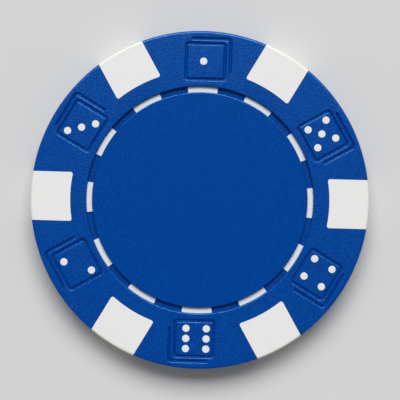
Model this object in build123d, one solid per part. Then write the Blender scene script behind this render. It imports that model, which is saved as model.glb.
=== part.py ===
"""A weighted poker chip with edge spots, dice faces and a dashed ring, alike on both faces.

Millimetres, +Z up. The origin is the middle of the lower face, and +Y runs through the dice face
with one pip. Each half of the chip is a blue shell over a white carrier plate. The two halves
close round a steel slug, and the edge spots run through the whole thickness between them.
"""

import math
import os

from build123d import *

# ---- The whole chip ----
chip_diameter = 39.0
chip_thickness = 3.3
rim_round = 0.32  # rounding of the rim's two edges

# ---- Dice faces, one between each two edge spots ----
pip_diameter = 0.87
pip_pitch = 1.17  # from one column or row of pips to the next
border_near = 0.40  # from the field of pips to the outline: anticlockwise side
border_far = 0.83  # clockwise side
border_out = 0.44  # side towards the rim
border_in = 0.44  # side towards the centre
line_width = 0.32  # engraved lines
line_depth = 0.14
corner_out = 0.14  # rounding inside the outline's two corners nearer the rim
corner_in = 0.04  # and inside the two nearer the centre
shift_side = 0.64  # the second line's step past the outline, clockwise
shift_out = 0.56  # and towards the rim
second_corner = 0.38  # rounding of the second line's corner, at the line's middle
second_trim = 0.17  # what the second line's side run stops short of the cube's full edge
rim_land = 0.74  # plain band between the second line and the rim
inner_land = 0.69  # plain band between the outline and the ring groove

# ---- Ring groove with white dashes ----
track_width = 0.68
track_depth = 0.35
track_floor = 0.20  # blue plastic left under the groove
track_lip = 0.10  # rounding of the groove's two upper edges
dash_count = 12
dash_length = 3.44  # along the middle of the groove
dash_rise = 0.07  # how far the dashes stand above the groove's floor

# ---- White edge spots ----
spot_count = 6
spot_width = 5.7
spot_land = 1.84  # plain band between an edge spot and the ring groove
spot_corner = 0.25  # rounding of the two inner corners

# ---- Inside ----
carrier_web = 0.25  # white plastic over each face of the slug
carrier_margin = 0.22  # white plastic beyond the outermost pip
slug_wall = 0.70  # white plastic between the slug and an edge spot
slug_round = 0.20  # rounding of the slug's two edges
slug_play = 0.02  # round the slug, on every side
seat_gap = 0.02  # at the sides of every white piece that is let into another

# ---- Worked out from these ----
chip_radius = chip_diameter / 2
past_rim = chip_radius + chip_thickness  # where shapes that cut through the rim end
middle = chip_thickness / 2  # height where the two halves meet
shell_face = track_depth + track_floor  # blue plastic over the carrier
carrier_top = chip_thickness - shell_face
slug_top = carrier_top - carrier_web - slug_play
slug_bottom = chip_thickness - slug_top

pip_radius = pip_diameter / 2
pip_field = pip_pitch + pip_radius  # from a dice face's middle to its pips' outer edge
outline_left = -(pip_field + border_near)
outline_right = pip_field + border_far
outline_top = pip_field + border_out
outline_bottom = -(pip_field + border_in)
die_radius = chip_radius - rim_land - line_width / 2 - shift_out - outline_top
outermost_pip = math.hypot(die_radius + pip_pitch, pip_pitch) + pip_radius
carrier_radius = outermost_pip + carrier_margin

track_outer = die_radius + outline_bottom - line_width / 2 - inner_land
track_inner = track_outer - track_width
track_middle = (track_inner + track_outer) / 2
track_bottom = chip_thickness - track_depth
dash_top = track_bottom + dash_rise

spot_inner_radius = track_outer + spot_land
slug_radius = spot_inner_radius - slug_wall

# Angles go clockwise from +Y, as seen from above. The edge spots lie half way between dice faces.
first_spot = 180 / spot_count
dice_order = (1, 5, 4, 6, 2, 3)  # by number of pips: opposite faces add up to seven

# Pips of each dice face in steps of the pitch: columns run clockwise, rows towards the rim.
centre_pip = [(0, 0)]
one_diagonal = [(-1, -1), (1, 1)]
other_diagonal = [(-1, 1), (1, -1)]
middle_row = [(-1, 0), (1, 0)]
pip_places = {
    1: centre_pip,
    2: one_diagonal,
    3: centre_pip + other_diagonal,
    4: one_diagonal + other_diagonal,
    5: centre_pip + one_diagonal + other_diagonal,
    6: one_diagonal + other_diagonal + middle_row,
}


# ---- Shared shapes ----
def disc(radius, low, high):
    """A round plate about the chip's axis between two heights."""
    return extrude(Pos(0, 0, low) * Circle(radius), high - low)


def turned(shape, angle):
    """A shape turned clockwise about the chip's axis."""
    return Rot(0, 0, -angle) * shape


def repeated(shape, count, start=0):
    """Copies of a shape, evenly spaced about the chip's axis."""
    return [turned(shape, start + number * 360 / count) for number in range(count)]


def flipped(shape):
    """A piece of the upper half as the lower half has it: the chip turned over about the Y axis."""
    return Pos(0, 0, chip_thickness) * Rot(0, 180, 0) * shape


def round_edges(body):
    """The edges of a body that are circles or arcs of circles."""
    return body.edges().filter_by(GeomType.CIRCLE)


def chip_blank():
    """The whole chip as a plain disc with rounded rim edges."""
    blank = disc(chip_radius, 0, chip_thickness)
    return fillet(round_edges(blank), rim_round)


# ---- Edge spots ----
def spot_block(gap):
    """The block that an edge spot fills, at +Y, grown by a gap. It runs out past the rim."""
    strip = Rectangle(spot_width + 2 * gap, past_rim, align=(Align.CENTER, Align.MIN))
    outline = strip - Circle(spot_inner_radius - gap)
    inner_corners = outline.vertices().sort_by(Axis.Y)[:2]
    return extrude(fillet(inner_corners, spot_corner), chip_thickness)


def edge_spots():
    """The white edge spots in their places, flush with both faces and with the rim."""
    spot = spot_block(0) & chip_blank()
    return repeated(spot, spot_count, first_spot)


def spot_slots():
    """What the edge spots' blocks take out of the shells and carriers."""
    return repeated(spot_block(seat_gap), spot_count, first_spot)


# ---- Dice faces ----
def outline_area(grow):
    """The area inside the line of a dice outline at +Y, grown by an amount on every side."""
    inset = line_width / 2 - grow
    low = (outline_left + inset, die_radius + outline_bottom + inset)
    high = (outline_right - inset, die_radius + outline_top - inset)
    area = Polyline(low, (high[0], low[1]), high, (low[0], high[1]), close=True)
    area = make_face(area)
    area = fillet(area.vertices().sort_by(Axis.Y)[2:], corner_out + grow)
    return fillet(area.vertices().sort_by(Axis.Y)[:2], corner_in + grow)


def second_line():
    """The L-shaped line at +Y, which shows past the outline like the far edges of a cube."""
    left = outline_left + shift_side
    right = outline_right + shift_side
    top = die_radius + outline_top + shift_out
    bottom = die_radius + outline_bottom + shift_out + second_trim
    path = FilletPolyline((left, top), (right, top), (right, bottom), radius=second_corner)
    return trace(path, line_width)


def all_lines():
    """The engraved lines of every dice face, as bodies to cut away."""
    outline = outline_area(line_width) - outline_area(0)
    line_floor = Pos(0, 0, chip_thickness - line_depth)
    bodies = [extrude(line_floor * line, line_depth) for line in (outline, second_line())]
    return [copy for body in bodies for copy in repeated(body, len(dice_order))]


def all_pips(gap):
    """The pips of every dice face in their places, by their number. They stand on the carrier."""
    foot = Pos(0, 0, carrier_top) * Circle(pip_radius + gap)
    pip = extrude(foot, shell_face)
    groups = {}
    for place, count in enumerate(dice_order):
        angle = place * 360 / len(dice_order)
        spots = [(x * pip_pitch, die_radius + y * pip_pitch) for x, y in pip_places[count]]
        groups[count] = [turned(Pos(x, y) * pip, angle) for x, y in spots]
    return groups


# ---- Ring groove ----
def track():
    """The ring groove, as a body to cut away."""
    outer = disc(track_outer, track_bottom, chip_thickness)
    return outer - disc(track_inner, track_bottom, chip_thickness)


def all_dashes(gap, top):
    """The dashes in their places up to a height, drawn in by a gap on every side."""
    half_angle = math.degrees((dash_length / 2 - gap) / track_middle)
    start = 90 - half_angle
    inner_arc = CenterArc((0, 0), track_inner + gap, start, 2 * half_angle)
    outer_arc = CenterArc((0, 0), track_outer - gap, start, 2 * half_angle)
    ends = [Line(inner_arc @ end, outer_arc @ end) for end in (0, 1)]
    outline = make_face([inner_arc, outer_arc, *ends])
    dash = extrude(Pos(0, 0, carrier_top) * outline, top - carrier_top)
    return repeated(dash, dash_count)


# ---- Pieces of the upper half ----
def upper_shell():
    """Blue half of the chip, engraved, with openings for every white piece that shows."""
    shell = split(chip_blank(), Plane.XY.offset(middle), keep=Keep.TOP)
    shell -= track()
    on_top = round_edges(shell).filter_by_position(Axis.Z, chip_thickness, chip_thickness)
    shell = fillet(on_top.sort_by(SortBy.RADIUS)[:2], track_lip)
    shell -= disc(carrier_radius + seat_gap, middle, carrier_top)
    shell -= spot_slots()
    shell -= all_dashes(0, track_bottom)
    shell -= all_lines()
    for openings in all_pips(seat_gap).values():
        shell -= openings
    return shell


def upper_carrier():
    """White plate under the shell, with its pocket for the slug and notches for the edge spots."""
    plate = disc(carrier_radius, middle, carrier_top)
    pocket = disc(slug_radius + slug_play, middle, slug_top + slug_play)
    return plate - pocket - spot_slots()


# ---- The weight ----
def steel_slug():
    """Stamped steel disc that fills the pockets of the two carriers, less its play."""
    slug = disc(slug_radius, slug_bottom, slug_top)
    return fillet(round_edges(slug), slug_round)


# ---- The whole assembly ----
def all_pieces():
    """Every piece of the chip in its place, by its name."""
    upper = {
        "shell": upper_shell(),
        "carrier": upper_carrier(),
        "dashes": Compound(children=all_dashes(seat_gap, dash_top)),
    }
    for count, group in all_pips(0).items():
        upper[f"pips_{count}"] = Compound(children=group)

    pieces = {"steel_slug": steel_slug()}
    for name, piece in upper.items():
        pieces[f"upper_{name}"] = piece
        pieces[f"lower_{name}"] = flipped(piece)
    for number, spot in enumerate(edge_spots(), 1):
        pieces[f"edge_spot_{number}"] = spot
    return pieces


os.makedirs("parts", exist_ok=True)
for name, piece in all_pieces().items():
    export_step(piece, f"parts/{name}.step")
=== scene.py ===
"""A weighted poker chip, moulded in blue with white inlays, lying on a pale studio floor.

Sizes are in millimetres about the middle of the chip's lower face, with +Y through the dice face
with one pip. Every tree works in millimetres and brings its piece to metres at its end.
"""

import math

import bpy
from mathutils import Matrix, Vector


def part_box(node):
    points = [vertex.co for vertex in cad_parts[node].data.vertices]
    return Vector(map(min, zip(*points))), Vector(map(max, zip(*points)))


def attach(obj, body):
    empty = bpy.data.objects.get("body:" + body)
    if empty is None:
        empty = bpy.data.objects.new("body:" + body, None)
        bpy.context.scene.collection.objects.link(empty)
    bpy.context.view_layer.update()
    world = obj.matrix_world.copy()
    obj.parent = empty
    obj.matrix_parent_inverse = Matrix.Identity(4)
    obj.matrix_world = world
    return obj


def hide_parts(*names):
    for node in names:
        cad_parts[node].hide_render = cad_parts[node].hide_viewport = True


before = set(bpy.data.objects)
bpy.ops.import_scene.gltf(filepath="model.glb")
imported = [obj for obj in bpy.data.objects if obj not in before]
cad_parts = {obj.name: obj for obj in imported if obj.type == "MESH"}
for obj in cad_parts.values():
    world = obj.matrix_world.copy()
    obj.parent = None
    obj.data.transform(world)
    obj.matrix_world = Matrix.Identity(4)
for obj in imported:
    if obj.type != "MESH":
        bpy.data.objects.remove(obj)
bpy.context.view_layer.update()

MM = 0.001  # metres


def cad_size(node, axis):
    """How far a CAD piece reaches along an axis, in millimetres."""
    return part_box(node)[1]["xyz".index(axis)] / MM


# ---- Sizes of the chip ----
carrier_play = 0.02  # between a carrier and its shell
sizes = {
    "chip radius": cad_size("edge_spot_2", "x"),
    "thickness": cad_size("edge_spot_1", "z"),
    "rim rounding": 0.28,
    "seam rounding": 0.03,  # where the two shells meet
    "ceiling height": cad_size("upper_carrier", "z"),
    "pocket radius": cad_size("upper_carrier", "y") + carrier_play,
    "seat gap": 0.008,  # round a white piece let into the blue
    # White edge spots
    "spot width": 5.63,
    "spot inner radius": 14.915,
    "spot corner": 0.25,
    # Ring groove with white dashes
    "groove inner radius": 12.41,
    "groove outer radius": 13.09,
    "groove depth": 0.50,
    "groove lip": 0.12,
    "dash length": 3.415,
    "dash inset": 0.015,  # from each side of the groove
    "dash top": 2.92,
    "dash edge": 0.02,
    # Pips
    "pip radius": 0.424,
    "pip edge": 0.03,
    # Engraved lines of a dice face, at their middles, measured from the dice face's middle
    "dice radius": 15.97,
    "outline left": -2.005,
    "outline right": 2.435,
    "outline top": 2.045,
    "outline bottom": -2.055,
    "outer corners": 0.30,
    "inner corners": 0.25,
    "second left": -1.365,
    "second right": 3.075,
    "second top": 2.605,
    "second bottom": -1.315,
    "second corner": 0.38,
    "line width": 0.34,  # between the tops of its walls
    "line lip": 0.14,  # rounding where a wall meets the face
    "line floor": 0.10,  # width at the bottom
    "line depth": 0.27,
    "line toe": 0.04,  # rounding where a wall meets the bottom
}
spot_count = 6
dash_count = 12
dice_order = (1, 5, 4, 6, 2, 3)  # pips of each dice face, clockwise from +Y
pip_pitch = 1.17
overcut = 0.2  # how far a cutter reaches past what it cuts

# ---- How finely curves are divided ----
ring_steps = 360
pip_steps = 48
arc_steps = 16  # a spot's inner side, and a dash's length
round_steps = 12  # a corner seen in plan
small_steps = 6  # a corner of the engraved lines' section
tiny_steps = 3  # a corner of the dashes' section
merged_below = 1e-4  # points nearer than this are one
smooth_below = math.radians(13)  # edges that bend more than this stay crisp


# ---- Node trees as expressions ----
class Value:
    """A socket of a node tree that takes part in sums as a number does."""

    def __init__(self, graph, socket):
        self.graph = graph
        self.socket = socket

    def __add__(self, other):
        return self.graph.maths("ADD", self, other)

    def __radd__(self, other):
        return self.graph.maths("ADD", other, self)

    def __sub__(self, other):
        return self.graph.maths("SUBTRACT", self, other)

    def __rsub__(self, other):
        return self.graph.maths("SUBTRACT", other, self)

    def __mul__(self, other):
        return self.graph.maths("MULTIPLY", self, other)

    def __rmul__(self, other):
        return self.graph.maths("MULTIPLY", other, self)

    def __truediv__(self, other):
        return self.graph.maths("DIVIDE", self, other)

    def __rtruediv__(self, other):
        return self.graph.maths("DIVIDE", other, self)

    def __neg__(self):
        return self.graph.maths("MULTIPLY", self, -1)

    def __gt__(self, other):
        return self.graph.maths("GREATER_THAN", self, other)

    def __lt__(self, other):
        return self.graph.maths("LESS_THAN", self, other)


class Graph:
    """A node tree under construction."""

    def __init__(self, tree):
        self.tree = tree

    def add(self, kind, settings=None, inputs=None, output=0):
        """Adds a node: its settings first, then the values or links of its sockets."""
        node = self.tree.nodes.new(kind)
        for name, setting in (settings or {}).items():
            if name == "items":
                while len(node.index_switch_items) < setting:
                    node.index_switch_items.new()
            else:
                setattr(node, name, setting)
        for name, value in (inputs or {}).items():
            for one in value if isinstance(value, list) else [value]:
                if isinstance(one, Value):
                    self.tree.links.new(one.socket, node.inputs[name])
                else:
                    node.inputs[name].default_value = one
        return Value(self, node.outputs[output])

    def maths(self, operation, *values):
        inputs = {number: value for number, value in enumerate(values)}
        return self.add("ShaderNodeMath", {"operation": operation}, inputs)

    def vector(self, x, y, z):
        return self.add("ShaderNodeCombineXYZ", inputs={"X": x, "Y": y, "Z": z})

    def between(self, value, low, high):
        """0 below a range of a value and 1 above it."""
        inputs = {"Value": value, "From Min": low, "From Max": high}
        return self.add("ShaderNodeMapRange", {"interpolation_type": "SMOOTHSTEP"}, inputs)


class Shape(Graph):
    """A Geometry Nodes tree with named sizes, which ends in one piece of one material."""

    def __init__(self, name, size_names):
        tree = bpy.data.node_groups.new(name, "GeometryNodeTree")
        tree.is_modifier = True
        super().__init__(tree)
        sockets = tree.interface
        sockets.new_socket("Geometry", in_out="INPUT", socket_type="NodeSocketGeometry")
        sockets.new_socket("Geometry", in_out="OUTPUT", socket_type="NodeSocketGeometry")
        sockets.new_socket("Material", in_out="INPUT", socket_type="NodeSocketMaterial")
        for size_name in size_names:
            socket = sockets.new_socket(size_name, in_out="INPUT", socket_type="NodeSocketFloat")
            socket.default_value = sizes[size_name]
        entry = tree.nodes.new("NodeGroupInput")
        self.input = {socket.name: Value(self, socket) for socket in entry.outputs if socket.name}

    def index(self):
        return self.add("GeometryNodeInputIndex")

    def pick(self, kind, values):
        """The value at a point's own number in a list."""
        inputs = {number + 1: value for number, value in enumerate(values)}
        inputs["Index"] = self.index()
        settings = {"data_type": kind, "items": len(values)}
        return self.add("GeometryNodeIndexSwitch", settings, inputs)

    def line(self, count, place, rounding, closed, steps):
        """A line through as many points, with rounded corners."""
        points = self.add("GeometryNodePoints", inputs={"Count": count, "Position": place})
        curve = self.add("GeometryNodePointsToCurves", inputs={"Points": points})
        curve = self.add("GeometryNodeSetSplineCyclic", inputs={"Geometry": curve, "Cyclic": closed})
        inputs = {"Curve": curve, "Count": steps, "Radius": rounding}
        curve = self.add("GeometryNodeFilletCurve", {"mode": "POLY"}, inputs)
        return self.add("GeometryNodeSetCurveRadius", inputs={"Curve": curve, "Radius": 1.0})

    def corners(self, corners, closed, steps=round_steps):
        """A line through corners, each given as x, y and rounding."""
        place = self.pick("VECTOR", [self.vector(x, y, 0) for x, y, rounding in corners])
        rounding = self.pick("FLOAT", [rounding for x, y, rounding in corners])
        return self.line(len(corners), place, rounding, closed, steps)

    def sweep(self, path, section, capped=False):
        """A section carried along a path, with its doubled points merged."""
        inputs = {"Curve": path, "Profile Curve": section, "Fill Caps": capped}
        mesh = self.add("GeometryNodeCurveToMesh", inputs=inputs)
        inputs = {"Geometry": mesh, "Distance": merged_below}
        return self.add("GeometryNodeMergeByDistance", inputs=inputs)

    def circle(self, radius, steps):
        inputs = {"Resolution": steps, "Radius": radius}
        return self.add("GeometryNodeCurvePrimitiveCircle", inputs=inputs)

    def turned(self, outline, steps=ring_steps):
        """A body of revolution from radii, heights and roundings. Its outline starts at the axis."""
        path = 1.0  # radius of the circle that carries the section round
        section = [(radius - path, -height, rounding) for radius, height, rounding in outline]
        return self.sweep(self.circle(path, steps), self.corners(section, False))

    def block(self, outline, low, high):
        """An upright block with an outline in plan, between two heights."""
        ends = {"Start": self.vector(0, 0, low), "End": self.vector(0, 0, high)}
        upright = self.add("GeometryNodeCurvePrimitiveLine", inputs=ends)
        return self.sweep(upright, outline, capped=True)

    def around(self, shape, count, start=0.0):
        """Copies of a shape, evenly spaced about the chip's axis, clockwise from +Y."""
        angle = math.radians(-start) - self.index() * (math.tau / count)
        inputs = {
            "Points": self.add("GeometryNodePoints", inputs={"Count": count}),
            "Instance": shape,
            "Rotation": self.vector(0, 0, angle),
        }
        return self.add("GeometryNodeInstanceOnPoints", inputs=inputs)

    def realized(self, shapes):
        joined = self.add("GeometryNodeJoinGeometry", inputs={"Geometry": shapes})
        return self.add("GeometryNodeRealizeInstances", inputs={"Geometry": joined})

    def finish(self, shape):
        """Ends the tree: crisp and smooth edges, metres, real meshes and their material."""
        shape = self.realized([shape])
        shape = self.add("GeometryNodeSetShadeSmooth", {"domain": "FACE"}, {"Geometry": shape})
        bend = self.add("GeometryNodeInputMeshEdgeAngle")
        inputs = {"Geometry": shape, "Selection": bend > smooth_below, "Shade Smooth": False}
        shape = self.add("GeometryNodeSetShadeSmooth", {"domain": "EDGE"}, inputs)
        inputs = {"Geometry": shape, "Scale": (MM, MM, MM)}
        shape = self.add("GeometryNodeTransform", inputs=inputs)
        shape = self.realized([shape])
        inputs = {"Geometry": shape, "Material": self.input["Material"]}
        shape = self.add("GeometryNodeSetMaterial", inputs=inputs)
        exit_node = self.tree.nodes.new("NodeGroupOutput")
        self.tree.links.new(shape.socket, exit_node.inputs["Geometry"])
        return self.tree


# ---- The trees ----
def spot_block(shape, grow):
    """The block that an edge spot fills at +Y, grown by a gap. It runs out past the rim."""
    size = shape.input
    number = shape.index()
    inner = size["spot inner radius"] - grow
    half = size["spot width"] / 2 + grow

    # Points 0 to arc_steps run along the inner side, and two more lie past the rim.
    angle = shape.maths("ARCSINE", half / inner) * (number * (2 / arc_steps) - 1)
    x = inner * shape.maths("SINE", angle)
    y = inner * shape.maths("COSINE", angle)
    at_rim = number > arc_steps + 0.5
    side = 1 - 2 * (number > arc_steps + 1.5)
    rim_place = shape.vector(half * side, size["chip radius"] + overcut, 0)
    inputs = {"Switch": at_rim, "False": shape.vector(x, y, 0), "True": rim_place}
    place = shape.add("GeometryNodeSwitch", {"input_type": "VECTOR"}, inputs)
    at_corner = (number < 0.5) + (number > arc_steps - 0.5) - at_rim
    outline = shape.line(arc_steps + 3, place, size["spot corner"] * at_corner, True, round_steps)
    return shape.block(outline, -overcut, size["thickness"] + overcut)


def dash_block(shape, grow, low, high, edge):
    """One dash of the ring groove at +Y, grown by a gap, between two heights, with rounded edges."""
    size = shape.input
    inner, outer = size["groove inner radius"], size["groove outer radius"]
    middle = (inner + outer) / 2
    half_width = (outer - inner) / 2 - size["dash inset"] + grow
    half_angle = (size["dash length"] / 2 + grow) / middle
    inputs = {
        "Resolution": arc_steps + 1,
        "Radius": middle,
        "Start Angle": math.pi / 2 - half_angle,
        "Sweep Angle": 2 * half_angle,
    }
    path = shape.add("GeometryNodeCurveArc", inputs=inputs)
    section = [
        (-half_width, -low, 0.0),
        (-half_width, -high, edge),
        (half_width, -high, edge),
        (half_width, -low, 0.0),
    ]
    return shape.sweep(path, shape.corners(section, True, tiny_steps), capped=True)


def line_cutters(shape):
    """What the engraved lines of all dice faces take out of a shell."""
    size = shape.input
    top = size["line width"] / 2
    reach = top + size["line lip"] * 0.65  # where the lip's rounding ends on the face
    above = -0.06  # the cutter's own top: depths count downwards
    face = -0.001  # a hair above the shell's face, so that the two don't coincide
    half = [
        (reach, above, 0.0),
        (reach, face, 0.0),
        (top, face, size["line lip"]),
        (size["line floor"] / 2, size["line depth"], size["line toe"]),
    ]
    other_half = [(-x, depth, rounding) for x, depth, rounding in half[::-1]]
    section = shape.corners(half + other_half, True, small_steps)

    middle = size["dice radius"]
    left, right = size["outline left"], size["outline right"]
    low, high = middle + size["outline bottom"], middle + size["outline top"]
    inner, outer = size["inner corners"], size["outer corners"]
    outline = [(left, low, inner), (right, low, inner), (right, high, outer), (left, high, outer)]
    second = [
        (size["second left"], middle + size["second top"], 0.0),
        (size["second right"], middle + size["second top"], size["second corner"]),
        (size["second right"], middle + size["second bottom"], 0.0),
    ]
    cutters = []
    for path, closed in ((outline, True), (second, False)):
        cutter = shape.sweep(shape.corners(path, closed), section, capped=not closed)
        cutters.append(shape.around(cutter, len(dice_order)))
    both = shape.add("GeometryNodeJoinGeometry", inputs={"Geometry": cutters})
    inputs = {"Geometry": both, "Translation": shape.vector(0, 0, size["thickness"])}
    return shape.add("GeometryNodeTransform", inputs=inputs)


def cut(shape, body, cutters, operation="DIFFERENCE"):
    """A body less its cutters, or what it shares with them."""
    cutters = shape.realized(cutters)
    settings = {"operation": operation, "solver": "MANIFOLD"}
    if operation == "INTERSECT":
        return shape.add("GeometryNodeMeshBoolean", settings, {"Mesh 2": [body, cutters]})
    return shape.add("GeometryNodeMeshBoolean", settings, {"Mesh 1": body, "Mesh 2": cutters})


def shell_tree():
    """The blue upper shell, turned, then cut for its lines and for every white piece."""
    shape = Shape("turned shell", list(sizes))
    size = shape.input
    top = size["thickness"]
    middle = top / 2
    floor = top - size["groove depth"]
    lip = size["groove lip"]
    body = shape.turned(
        [
            (0.0, top, 0.0),
            (size["groove inner radius"], top, lip),
            (size["groove inner radius"], floor, 0.0),
            (size["groove outer radius"], floor, 0.0),
            (size["groove outer radius"], top, lip),
            (size["chip radius"], top, size["rim rounding"]),
            (size["chip radius"], middle, size["seam rounding"]),
            (size["pocket radius"], middle, 0.0),
            (size["pocket radius"], size["ceiling height"], 0.0),
            (0.0, size["ceiling height"], 0.0),
        ]
    )
    gap = size["seat gap"]
    low = size["ceiling height"] - overcut
    hole = shape.block(shape.circle(size["pip radius"] + gap, pip_steps), low, top + overcut)
    inputs = {"Points": size["Geometry"], "Instance": hole}
    holes = shape.add("GeometryNodeInstanceOnPoints", inputs=inputs)
    dash = dash_block(shape, gap, low, floor + overcut, 0.0)
    cutters = [
        holes,
        shape.around(dash, dash_count),
        shape.around(spot_block(shape, gap), spot_count, 180 / spot_count),
        line_cutters(shape),
    ]
    return shape.finish(cut(shape, body, cutters))


def pip_tree():
    """A white pip on every point."""
    shape = Shape("pips", ["pip radius", "pip edge", "thickness", "ceiling height"])
    size = shape.input
    pip = shape.turned(
        [
            (0.0, size["thickness"], 0.0),
            (size["pip radius"], size["thickness"], size["pip edge"]),
            (size["pip radius"], size["ceiling height"], 0.0),
            (0.0, size["ceiling height"], 0.0),
        ],
        pip_steps,
    )
    inputs = {"Points": size["Geometry"], "Instance": pip}
    return shape.finish(shape.add("GeometryNodeInstanceOnPoints", inputs=inputs))


def dash_tree():
    """The white dashes in the ring groove."""
    dash_sizes = ["dash length", "dash inset", "dash top", "dash edge"]
    shape = Shape("dashes", ["groove inner radius", "groove outer radius", "ceiling height", *dash_sizes])
    size = shape.input
    dash = dash_block(shape, 0.0, size["ceiling height"], size["dash top"], size["dash edge"])
    return shape.finish(shape.around(dash, dash_count))


def spot_tree():
    """The white edge spots, through the whole thickness."""
    chip_sizes = ["chip radius", "thickness", "rim rounding"]
    shape = Shape("edge spots", ["spot inner radius", "spot width", "spot corner", *chip_sizes])
    size = shape.input
    radius, rounding = size["chip radius"], size["rim rounding"]
    outline = [
        (0.0, size["thickness"], 0.0),
        (radius, size["thickness"], rounding),
        (radius, 0.0, rounding),
        (0.0, 0.0, 0.0),
    ]
    spots = shape.around(spot_block(shape, 0.0), spot_count, 180 / spot_count)
    return shape.finish(cut(shape, shape.turned(outline), [spots], "INTERSECT"))


# ---- Making the pieces ----
def pip_centres():
    """Where the pips of the upper face lie."""
    centre = [(0, 0)]
    one_diagonal = [(-1, -1), (1, 1)]
    other_diagonal = [(-1, 1), (1, -1)]
    middle_row = [(-1, 0), (1, 0)]
    places = {
        1: centre,
        2: one_diagonal,
        3: centre + other_diagonal,
        4: one_diagonal + other_diagonal,
        5: centre + one_diagonal + other_diagonal,
        6: one_diagonal + other_diagonal + middle_row,
    }
    points = []
    for number, count in enumerate(dice_order):
        turn = Matrix.Rotation(-number * math.tau / len(dice_order), 3, "Z")
        for x, y in places[count]:
            point = Vector((x * pip_pitch, sizes["dice radius"] + y * pip_pitch, 0))
            points.append(turn @ point)
    return points


def made(name, tree, material, points=(), turned_over=False):
    """A piece made by a tree, as a plain mesh."""
    mesh = bpy.data.meshes.new(name)
    mesh.from_pydata(points, [], [])
    mesh.materials.append(material)
    maker = bpy.data.objects.new(name + "_maker", mesh)
    bpy.context.scene.collection.objects.link(maker)
    nodes = maker.modifiers.new("shape", "NODES")
    nodes.node_group = tree
    for socket in tree.interface.items_tree:
        if socket.in_out == "INPUT" and socket.name in sizes:
            nodes[socket.identifier] = sizes[socket.name]
        elif socket.name == "Material":
            nodes[socket.identifier] = material
    normals = maker.modifiers.new("normals", "WEIGHTED_NORMAL")
    normals.mode = "FACE_AREA"
    normals.keep_sharp = True
    evaluated = maker.evaluated_get(bpy.context.evaluated_depsgraph_get())
    result = bpy.data.meshes.new_from_object(evaluated)
    maker.modifiers.clear()
    bpy.data.objects.remove(maker)
    bpy.data.meshes.remove(mesh)
    result.name = name
    result.materials.clear()  # the tree leaves an empty slot in front of its own
    result.materials.append(material)
    result.polygons.foreach_set("material_index", [0] * len(result.polygons))
    if turned_over:
        lift = Matrix.Translation((0, 0, sizes["thickness"] * MM))
        result.transform(lift @ Matrix.Rotation(math.pi, 4, "Y"))
    piece = bpy.data.objects.new(name, result)
    bpy.context.scene.collection.objects.link(piece)
    return piece


# ---- Finishes ----
class Finish(Graph):
    """The nodes of one material, round its own shader."""

    def __init__(self, name, colour, roughness, **constants):
        self.material = bpy.data.materials.new(name)
        self.material.use_nodes = True
        super().__init__(self.material.node_tree)
        self.shader = self.tree.nodes["Principled BSDF"]
        self.set("Base Color", (*colour, 1))
        self.set("Roughness", roughness)
        for socket, value in constants.items():
            self.set(socket.replace("_", " "), value)
        self.place = self.add("ShaderNodeTexCoord", output="Object")
        x, y = (self.add("ShaderNodeSeparateXYZ", inputs={0: self.place}, output=axis) for axis in "XY")
        self.radius = self.maths("SQRT", x * x + y * y) / MM

    def set(self, socket, value):
        """A constant goes on the shader's own socket, and what varies is linked to it."""
        if isinstance(value, Value):
            self.tree.links.new(value.socket, self.shader.inputs[socket])
        else:
            self.shader.inputs[socket].default_value = value

    def noise(self, grain_size, detail=2.0):
        """Noise from 0 to 1, about a half, with grains of a size in millimetres."""
        inputs = {"Vector": self.place, "Scale": 1 / (grain_size * MM), "Detail": detail}
        return self.add("ShaderNodeTexNoise", inputs=inputs)

    def mix(self, factor, colour, other):
        inputs = {0: factor}
        for number, one in ((6, colour), (7, other)):
            inputs[number] = one if isinstance(one, Value) else (*one, 1)
        return self.add("ShaderNodeMix", {"data_type": "RGBA"}, inputs, output=2)

    def bump(self, height):
        """Relief from a height in millimetres."""
        inputs = {"Strength": 1.0, "Distance": MM, "Height": height}
        self.set("Normal", self.add("ShaderNodeBump", inputs=inputs))


def blue_plastic():
    """Smooth blue plastic in the middle, with more of its moulded grain towards and on the ring."""
    blue, deep_blue, light_blue = (0.0, 0.054, 0.32), (0.0, 0.039, 0.268), (0.0, 0.071, 0.378)
    gloss = {"Specular_IOR_Level": 1.0, "Specular_Tint": (0.18, 0.55, 1.0, 1), "IOR": 1.6}
    finish = Finish("blue_plastic", blue, 0.2, **gloss)
    ring = finish.between(finish.radius, 12.5, 12.8)  # from the groove outwards
    outer_disc = finish.between(finish.radius, 5, 10)
    grain = 0.2 + 0.5 * outer_disc + 0.45 * ring
    specks = finish.noise(0.13, 1.0)
    cloud = finish.noise(1.2)
    shade = 0.5 + (finish.between(specks, 0.3, 0.7) - 0.5) * grain + (cloud - 0.5) * 0.2
    finish.set("Base Color", finish.mix(shade, deep_blue, light_blue))
    finish.set("Roughness", 0.217 + 0.038 * ring)
    finish.bump(specks * 0.02 * grain)
    return finish.material


def white_plastic(name, colour):
    """White plastic with a faint grain and cloudiness, and a warmer tone at the rim."""
    finish = Finish(name, colour, 0.35)
    speckle = finish.between(finish.noise(0.14, 1.0), 0.3, 0.7)
    cloud = finish.noise(2.0)
    rim = finish.between(finish.radius, 18.5, 19.4)
    red, green, blue = colour
    pale = [part * 1.02 for part in colour]
    warm = (red * 1.03, green * 1.03, blue * 0.98)
    shaded = [part * 0.98 for part in colour]
    shade = 0.75 - speckle * 0.5 + (cloud - 0.5) * 0.3
    finish.set("Base Color", finish.mix(shade, finish.mix(rim, pale, warm), shaded))
    finish.set("Roughness", 0.31 + cloud * 0.08)
    finish.bump(speckle * 0.001)
    return finish.material


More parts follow.
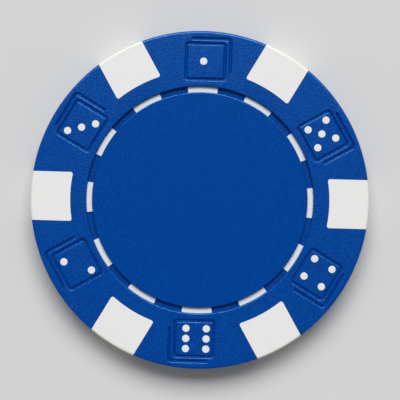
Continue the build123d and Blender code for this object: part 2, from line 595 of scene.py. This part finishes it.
def stamped_steel():
    """Bare steel with fine turned marks."""
    finish = Finish("steel", (0.55, 0.55, 0.54), 0.35, Metallic=1.0)
    inputs = {"Vector": finish.vector(finish.radius, 0, 0), "Scale": 6.0, "Detail": 4.0}
    marks = finish.add("ShaderNodeTexNoise", inputs=inputs)
    stain = finish.noise(4.0, 3.0)
    finish.set("Base Color", finish.mix(stain, (0.46, 0.45, 0.43), (0.63, 0.63, 0.62)))
    finish.set("Roughness", 0.2 + marks * 0.25 + stain * 0.1)
    finish.bump(marks * 0.01)
    return finish.material


blue = blue_plastic()
white = white_plastic("white_plastic", (0.815, 0.815, 0.81))
white_pips = white_plastic("white_pips", (0.785, 0.80, 0.805))
# The dashes' white is darker and bluer than the spots': painted shade of the groove they sit in, and
# painted blue light thrown back from the groove's walls.
white_dashes = white_plastic("white_dashes", (0.75, 0.785, 0.81))
floor_finish = Finish("floor", (0.66, 0.66, 0.655), 0.9, Specular_IOR_Level=0.0)

shell = shell_tree()
pips = pip_tree()
dashes = dash_tree()
spots = spot_tree()
centres = pip_centres()
for side, turned_over in (("upper", False), ("lower", True)):
    piece = made(f"blue_{side}_shell", shell, blue, centres, turned_over)
    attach(piece, "root")
    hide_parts(f"{side}_shell")
    piece = made(f"white_{side}_pips", pips, white_pips, centres, turned_over)
    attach(piece, "root")
    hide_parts(*[f"{side}_pips_{count}" for count in dice_order])
    piece = made(f"white_{side}_dashes", dashes, white_dashes, turned_over=turned_over)
    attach(piece, "root")
    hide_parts(f"{side}_dashes")
piece = made("white_edge_spots", spots, white)
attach(piece, "root")
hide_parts(*[f"edge_spot_{number}" for number in range(1, spot_count + 1)])

# The inside keeps the frame's own pieces, in finishes of their own.
steel = stamped_steel()
inner_white = white_plastic("inner_white_plastic", (0.80, 0.79, 0.76))
inside = {"steel_slug": steel, "upper_carrier": inner_white, "lower_carrier": inner_white}
for node, material in inside.items():
    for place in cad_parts[node].material_slots:
        place.material = material

# ---- Floor ----
floor_width = 1.0  # metres
floor_drop = 0.02  # keeps the floor just clear of the chip's lower face
bpy.ops.mesh.primitive_plane_add(size=floor_width)
floor = bpy.context.object
floor.name = "floor"
floor.location.z = -floor_drop * MM
floor.data.materials.append(floor_finish.material)

# ---- One soft light from the side of the dice face with one pip ----
light_distance = 15.0  # metres, so far that it falls evenly on the whole floor
light_elevation = math.radians(50.5)
light_half_width = math.radians(24)  # half the angle that it fills, seen from the chip
light_half_height = math.radians(15)
light_level = 0.863  # how bright it alone makes a white floor
light_data = bpy.data.lights.new("key", "AREA")
light_data.shape = "RECTANGLE"
light_data.size = 2 * light_distance * math.tan(light_half_width)
light_data.size_y = 2 * light_distance * math.tan(light_half_height)
light_data.energy = light_level * math.pi**2 * light_distance**2 / math.sin(light_elevation)
light = bpy.data.objects.new("key", light_data)
bpy.context.scene.collection.objects.link(light)
towards = Vector((0, math.cos(light_elevation), math.sin(light_elevation)))
light.location = towards * light_distance
light.rotation_euler = towards.to_track_quat("Z", "Y").to_euler()

# ---- A grey room that fills the shadows. The gloss of the plastic mirrors only its ceiling, faintly ----
backdrop_level = 0.66  # as the camera sees it
ceiling_level = 0.01  # as gloss mirrors it
fill_level = 0.255
world = bpy.data.worlds.new("studio")
world.use_nodes = True
room = Graph(world.node_tree)
direction = room.add("ShaderNodeTexCoord", output="Generated")
upward = room.add("ShaderNodeSeparateXYZ", inputs={0: direction}, output="Z")
ceiling = room.between(upward, 0.4, 0.9) * ceiling_level
seen = room.add("ShaderNodeLightPath", output="Is Camera Ray")
glossy = room.add("ShaderNodeLightPath", output="Is Glossy Ray")
strength = seen * backdrop_level + glossy * ceiling + (1 - seen - glossy) * fill_level
background = world.node_tree.nodes["Background"]
background.inputs["Color"].default_value = (1, 1, 1, 1)
world.node_tree.links.new(strength.socket, background.inputs["Strength"])
bpy.context.scene.world = world

# ---- Camera, straight above ----
camera_height = 0.15  # metres
camera_aside = 0.025
camera_roll = math.radians(1.62)
picture_width = 400  # pixels
radius_in_picture = 169.15  # pixels, of the chip at its widest
frame_width = picture_width * sizes["chip radius"] / radius_in_picture * MM
widest_height = (sizes["thickness"] - sizes["rim rounding"]) * MM
camera_data = bpy.data.cameras.new("camera")
camera_data.sensor_width = 36
camera_data.lens = camera_data.sensor_width * (camera_height - widest_height) / frame_width
camera = bpy.data.objects.new("camera", camera_data)
bpy.context.scene.collection.objects.link(camera)
camera.location = (camera_aside * MM, 0, camera_height)
camera.rotation_euler = (0, 0, camera_roll)
bpy.context.scene.camera = camera
bpy.context.scene.view_settings.view_transform = "Standard"
